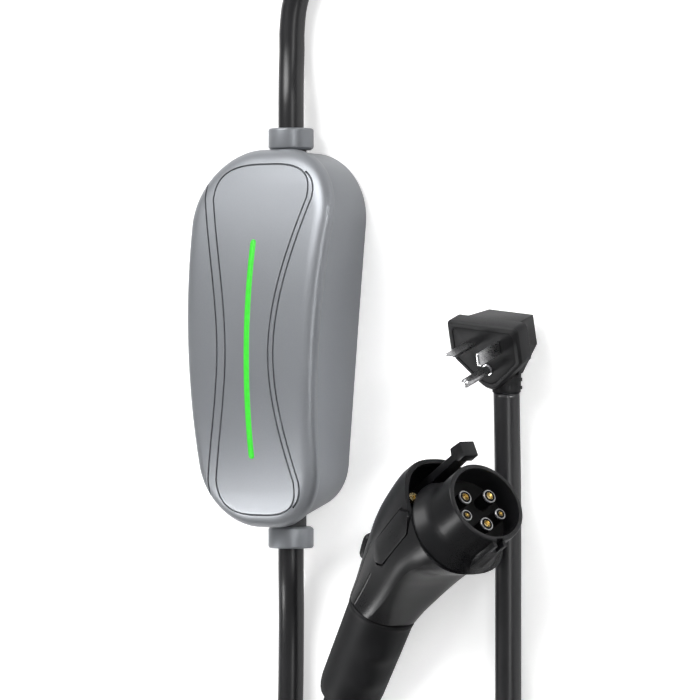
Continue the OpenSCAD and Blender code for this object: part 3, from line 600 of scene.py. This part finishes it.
RIM_AT, YAW, PITCH, ROLL = Vector((153.9, -83, 46.9)), 30, 13.3, -97
CONNECTOR = (Matrix.Translation(RIM_AT) @ Matrix.Rotation(radians(YAW), 4, "Z")
    @ Matrix.Rotation(radians(-PITCH), 4, "Y") @ Matrix.Rotation(radians(ROLL), 4, "X"))
GRIP_X, GRIP_Z, GRIP_BEND = -103, -7.3, 28
GRIP = (CONNECTOR @ Matrix.Translation((GRIP_X, 0, GRIP_Z)) @ Matrix.Rotation(radians(-GRIP_BEND), 4, "Y")
    @ Matrix.Rotation(radians(-90), 4, "Y"))
# x and z of the centre, tilt, half width, height above, height below, angle of the crease, depth of the belly
HANDLE_ROWS = [
    (-28.6, 0, 0, 27, 40, 26.7, 216, 0.5),
    (-38, 0.2, 0, 26.6, 40.6, 24.8, 216, 2.8),
    (-50, 0, 3, 25.4, 39, 20.6, 215, 4.4),
    (-62, -0.8, 8, 23.6, 36.5, 19.6, 214, 5.0),
    (-73, -2.4, 13, 21.5, 32, 19.2, 212, 5.0),
    (-84, -4.2, 18, 19.6, 27, 18.9, 211, 4.2),
    (-94, -5.8, 23, 18.3, 22, 18.3, 209, 2.6),
    (GRIP_X, GRIP_Z, GRIP_BEND, 17.6, 18.2, 17.8, 207, 1.0),
]
SHELL_WALL = 2.4
HOOD_X, HOOD_L = -62, 33.4
BACK_ROUND, HOOD_SQUARES, BELLY_ROUND = 0.92, 0.14, 0.8
BACK_STEPS, BELLY_STEPS = 60, 28


def signed_power(value, power):
    return abs(value) ** power * (1 if value > 0 else -1)


def handle_point(row, a, inset, dip=0.0):
    """Point of a handle section; the section grows squarer towards the hood's mouth."""
    x, z, tilt, w, above, under = row[:6]
    c, s = cos(a), sin(a)
    hood = min(max((x - HOOD_X) / HOOD_L, 0.0), 1.0)
    power = BACK_ROUND - HOOD_SQUARES * hood if s > 0 else BELLY_ROUND
    across = (w - inset - dip) * signed_power(c, power)
    rise = ((above if s > 0 else under) - inset - dip) * signed_power(s, power)
    return Vector((x - rise * sin(radians(tilt)), across, z + rise * cos(radians(tilt))))


def handle_ring(row, inset):
    """A section with a vertex on each crease; the belly between them is drawn in."""
    crease, belly = row[6:]
    upper = [180 - crease + (2 * crease - 180) * i / BACK_STEPS for i in range(BACK_STEPS)]
    points = [handle_point(row, radians(a), inset) for a in upper]
    for i in range(BELLY_STEPS):
        a = radians(crease + (540 - 2 * crease) * i / BELLY_STEPS)
        points.append(handle_point(row, a, inset, belly * sin(pi * i / BELLY_STEPS)))
    return points


def handle_stations(steps):
    """Rows run through smoothly."""
    last = len(HANDLE_ROWS) - 1
    rows = []
    for i in range(last):
        a, b, c, d = (HANDLE_ROWS[min(max(k, 0), last)] for k in (i - 1, i, i + 1, i + 2))
        for k in range(steps):
            rows.append([spline(*values, k / steps) for values in zip(a, b, c, d)])
    return rows + [list(HANDLE_ROWS[last])]


def placed(matrix, shape):
    verts, faces = shape
    return [matrix @ Vector(v) for v in verts], faces


def wrapped(rings):
    """Skin round a closed run of rings."""
    verts, faces = loft(list(rings) + [rings[0]], closed=False)
    keep = len(verts) - len(rings[0])
    return verts[:keep], [tuple(v % keep for v in face) for face in faces]


def block(low, high):
    x0, y0, z0 = low
    x1, y1, z1 = high
    return loft([[(x0, y0, z), (x1, y0, z), (x1, y1, z), (x0, y1, z)] for z in (z0, z1)])


def prism(outline, low, high):
    return loft([[(x, y, z) for x, y in outline] for z in (low, high)])


stations = handle_stations(8)
handle_rings = [handle_ring(row, 0) for row in stations]
handle_rings += [handle_ring(row, SHELL_WALL) for row in reversed(stations)]
handle = piece("handle", *placed(CONNECTOR, wrapped(handle_rings)), "handle_plastic",
    ["handle_shell_left", "handle_shell_right"])

PLAQUE = (Matrix.Translation((-50, -23.3, 7)) @ Matrix.Rotation(radians(-7), 4, "Z")
    @ Matrix.Rotation(radians(90), 4, "X") @ Matrix.Rotation(radians(4), 4, "Z"))
PLAQUE_L, PLAQUE_W = 42, 13


def plaque_plan(grow):
    """Outline of the plaque, with its corners cut."""
    end, w = PLAQUE_L / 2 + grow, PLAQUE_W / 2 + grow
    upper = [(end, w - 4), (end - 5, w), (7 - end, w), (-end, w - 6)]
    return upper + [(-x, -y) for x, y in upper]


def flank_line(a, first, last):
    """Groove tool along the handle's near side at one section angle."""
    line = [handle_point(row, radians(a), 0) for row in handle_stations(6)[first:last]]
    return tube(line, FLANK_R, 8)


# Way out of the shell for the thumb pad, gap round the plaque, and two lines on the flank
BUTTON = [(-100.6, -10.8, 4), (-81.8, 10.8, 44)]
PLAQUE_GAP = 0.9
FLANK_R = 0.55
plaque_seat = placed(CONNECTOR @ PLAQUE, prism(plaque_plan(PLAQUE_GAP), 0, 8))
cut(handle, [placed(CONNECTOR, block(*BUTTON)), plaque_seat,
    placed(CONNECTOR, flank_line(150, 22, 43)), placed(CONNECTOR, flank_line(172, 27, 43))], sharp=13)

# Contacts: a bright ring and a near-black shroud round each mouth, the shroud also being painted shade for
# the dark reflection on each mouth's annulus, and the gilt spring seen inside it
CONTACTS = {"line": (-7.8, 6, 1.8), "neutral": (7.8, 6, 1.8), "earth": (0, -9.5, 1.8),
    "pilot": (-10.8, -4.2, 1.2), "proximity": (10.8, -4.2, 1.2)}
TIP = 5
CONTACT_WALL = 1.08


def revolved(profile, sides):
    """Rings about the barrel's axis, one for each (x, r) pair."""
    angles = [2 * pi * k / sides for k in range(sides)]
    return [[(x, r * cos(a), r * sin(a)) for a in angles] for x, r in profile]


for name, (y, z, bore) in CONTACTS.items():
    at = CONNECTOR @ Matrix.Translation((-TIP, y, z))
    lip = bore + CONTACT_WALL
    ring = wrapped(revolved([(-1.2, lip), (-0.35, lip), (-0.1, lip + 0.2), (-0.1, lip + 0.55),
        (-0.4, lip + 0.8), (-1.2, lip + 0.8)], 48))
    crisp(piece(name + "_ring", *placed(at, ring), "steel", []), 40)
    # Near-black plastic shroud over the annulus: partly a real shroud, partly painted shade standing in for
    # the annulus's dark reflection
    shroud_and_shade = wrapped(revolved([(0.03, bore + 0.1), (0.25, bore + 0.16), (0.36, bore + 0.4),
        (0.36, lip - 0.25), (0.2, lip), (0.03, lip)], 48))
    crisp(piece(name + "_shroud", *placed(at, shroud_and_shade), "carrier_plastic", []), 40)
    dome = loft(revolved([(-3.2, bore - 0.1), (-1.6, bore - 0.1), (-1.3, bore * 0.72), (-1.15, bore * 0.4),
        (-1.1, bore * 0.1)], 32))
    crisp(piece(name + "_spring", *placed(at, dome), "contact_brass", []), 50)

# Thumb pad on the lever, over the way out of the shell
PAD = CONNECTOR @ Matrix.Translation((-91.5, 0, 22.4)) @ Matrix.Rotation(radians(-36), 4, "Y")
# Half length, half width and height of each ring
PAD_ROWS = [(6.4, 8.6, -2.4), (7.3, 9.6, -1.9), (7.7, 10, -1.0), (7.7, 10, 0.6), (7.3, 9.6, 1.7),
    (6.3, 8.6, 2.4), (4.2, 6.4, 2.7), (1.4, 2.4, 2.75)]


def rounded(half_l, half_w, z, corner=0.45):
    """Ring of a soft rectangle."""
    ring = []
    for k in range(64):
        c, s = cos(2 * pi * k / 64), sin(2 * pi * k / 64)
        ring.append((half_l * signed_power(c, corner), half_w * signed_power(s, corner), z))
    return ring


pad = piece("thumb_pad", *placed(PAD, loft([rounded(*row) for row in PAD_ROWS])), "handle_plastic", [],
    body="latch")
crisp(pad, 50)

# Grip sleeve: distance along the grip and radius, outside and then back through the bore
BUMPS, BUMP_H, BUMP_L, BUMP_AT, BUMP_SPAN = (20, 37), 2.1, 5.5, pi + 0.3, 0.5
SLEEVE_BORE = 14.6
SLEEVE = [(0.6, 14.5), (0.6, 16.6), (0.75, 17.3), (1.2, 17.85), (1.9, 18.05), (2.7, 18.0), (3.4, 17.8),
    (4.4, 17.7)]
SLEEVE += [(4.4 + 2.1 * i, 17.7 - 0.038 * i) for i in range(1, 22)]
SLEEVE += [(51, 16.7), (53.5, 16.3), (55.6, 15.7), (57, 15.0), (57.8, 14.2), (58, 13.2), (58, 10.65),
    (53, 10.65), (53, 14.5)]


def sleeve_radius(t, r, a):
    """Grip radius with two finger bumps beside its underside."""
    if r <= SLEEVE_BORE:
        return r
    along = sum(exp(-((t - at) / BUMP_L) ** 2) for at in BUMPS)
    return r + BUMP_H * along * exp(-((a - BUMP_AT) / BUMP_SPAN) ** 2)


sleeve_rings = []
for t, r in SLEEVE:
    ring = []
    for k in range(96):
        a = 2 * pi * k / 96
        q = sleeve_radius(t, r, a)
        ring.append(GRIP @ Vector((q * cos(a), q * sin(a), t)))
    sleeve_rings.append(ring)
sleeve = piece("grip", *wrapped(sleeve_rings), "grip_rubber", ["grip_sleeve"])
crisp(sleeve, 40)

# Both leads, each standing for the CAD nodes of its cord
cord("mains_lead", mains_points, ["mains_cord"])
leave = (
    bend(71, -233, 50, 330, 270, 3, COIL_LOW - 4, LAY + 1)
    + bend(71, -233, 50, 250, 160, 4, LAY, BOOT_END[2] - 0.8)
)
cord("vehicle_lead", vehicle_points + leave + [BOOT_END],
    ["vehicle_cord_out", "vehicle_coil", "vehicle_cord_in"])


# CAD nodes that are shown as they are

def smooth_by_angle(limit):
    """Node group that shades faces smooth and keeps edges sharper than the limit."""
    group = bpy.data.node_groups.new("smooth_by_angle", "GeometryNodeTree")
    group.interface.new_socket("Geometry", in_out="INPUT", socket_type="NodeSocketGeometry")
    group.interface.new_socket("Geometry", in_out="OUTPUT", socket_type="NodeSocketGeometry")
    start = group.nodes.new("NodeGroupInput")
    end = group.nodes.new("NodeGroupOutput")
    angle = group.nodes.new("GeometryNodeInputMeshEdgeAngle")
    flat = group.nodes.new("FunctionNodeCompare")
    flat.operation = "LESS_THAN"
    flat.inputs["B"].default_value = radians(limit)
    edges = group.nodes.new("GeometryNodeSetShadeSmooth")
    edges.domain = "EDGE"
    faces = group.nodes.new("GeometryNodeSetShadeSmooth")
    faces.domain = "FACE"
    group.links.new(start.outputs[0], edges.inputs["Geometry"])
    group.links.new(angle.outputs["Unsigned Angle"], flat.inputs["A"])
    group.links.new(flat.outputs[0], edges.inputs["Shade Smooth"])
    group.links.new(edges.outputs[0], faces.inputs["Geometry"])
    group.links.new(faces.outputs[0], end.inputs[0])
    return group


SMOOTH = smooth_by_angle(28)


def soften(part, width):
    """Weld a CAD node's triangles, round its edges and shade it smooth."""
    weld = part.modifiers.new("weld", "WELD")
    weld.merge_threshold = 0.000002
    if width:
        edge = part.modifiers.new("edge", "BEVEL")
        edge.width = width * MM
        edge.segments = 2
        edge.limit_method = "ANGLE"
        edge.angle_limit = radians(40)
    shade = part.modifiers.new("shade", "NODES")
    shade.node_group = SMOOTH


EDGES = {"latch_lever": 0.5, "side_plaque": 0.4, "plug_body": 0.5, "plug_face": 0.3, "barrel": 0.45,
    "gland_collar_in": 0.3, "gland_collar_out": 0.3}
for row in frame["record"]["subparts"]:
    part = nodes[row["node"]]
    part.data.materials.clear()
    part.data.materials.append(PAINTS[row["material_slot"]])
    soften(part, EDGES.get(row["node"], 0))


# Floor and lights in metres, and the camera

FLOOR_HALF, FLOOR_Z = 4, -0.0006


def stage_floor():
    p = Paint("floor", roughness=0.95, specular_ior_level=0.1, emission_strength=1.0)
    camera_ray = p.node("ShaderNodeLightPath", out="Is Camera Ray")
    seen = camera_ray + 0.7 * p.node("ShaderNodeLightPath", out="Is Glossy Ray")
    pale = p.mix(p.noise(3, 2.0), rgb(0.86, 0.86, 0.86), rgb(0.88, 0.88, 0.88))
    p.feed("Base Color", p.mix(seen, rgb(0.32, 0.32, 0.32), pale))
    p.feed("Emission Color", p.mix(seen, rgb(0, 0, 0), rgb(0.5, 0.5, 0.5)))
    mesh = bpy.data.meshes.new("floor")
    corners = [(-1, -1), (1, -1), (1, 1), (-1, 1)]
    mesh.from_pydata([(x * FLOOR_HALF, y * FLOOR_HALF, FLOOR_Z) for x, y in corners], [], [(0, 1, 2, 3)])
    made = bpy.data.objects.new("floor", mesh)
    made.data.materials.append(p.material)
    bpy.context.scene.collection.objects.link(made)


def area_light(name, at, to, size, power, spread=180):
    lamp = bpy.data.lights.new(name, "AREA")
    lamp.shape = "RECTANGLE"
    lamp.size, lamp.size_y = size
    lamp.energy = power
    lamp.spread = radians(spread)
    made = bpy.data.objects.new(name, lamp)
    made.location = at
    made.rotation_euler = (Vector(to) - Vector(at)).to_track_quat("-Z", "Y").to_euler()
    bpy.context.scene.collection.objects.link(made)


stage_floor()
area_light("key", (-0.55, 1.35, 1.5), (0.05, 0, 0), (1.3, 1.3), 40)
area_light("edge", (1.3, 0.3, 1.02), (0.08, 0, 0), (1.5, 0.14), 6)
area_light("sheen", (-0.85, -0.75, 0.8), (0.12, -0.11, 0.03), (0.25, 0.7), 0.45, 40)
area_light("rim", (1.2, 0.5, 0.42), (0.15, -0.08, 0.05), (0.25, 0.25), 0.12, 16)

world = bpy.data.worlds.new("studio")
world.use_nodes = True
world.node_tree.nodes["Background"].inputs["Color"].default_value = rgb(1, 1, 1)
world.node_tree.nodes["Background"].inputs["Strength"].default_value = 0.28
bpy.context.scene.world = world

VIEW_TILT = radians(38)
PICTURE, PIXELS_PER_MM = 700, 1.92
DISTANCE, SENSOR = 2500, 36
AIM_ACROSS, AIM_Y, AIM_Z = 23.5, -6.25, 25
target = Vector(((AIM_ACROSS + AIM_Z * sin(VIEW_TILT)) / cos(VIEW_TILT), AIM_Y, AIM_Z))
lens = bpy.data.cameras.new("camera")
lens.sensor_width = SENSOR
lens.lens = SENSOR * DISTANCE / (PICTURE / PIXELS_PER_MM)
camera = bpy.data.objects.new("camera", lens)
away = Vector((sin(VIEW_TILT), 0, cos(VIEW_TILT)))
across = Vector((cos(VIEW_TILT), 0, -sin(VIEW_TILT)))
up = Vector((0, 1, 0))
turn = Matrix((across, up, away)).transposed().to_4x4()
camera.matrix_world = Matrix.Translation((target + away * DISTANCE) * MM) @ turn
bpy.context.scene.collection.objects.link(camera)
bpy.context.scene.camera = camera
bpy.context.scene.view_settings.view_transform = "Standard"
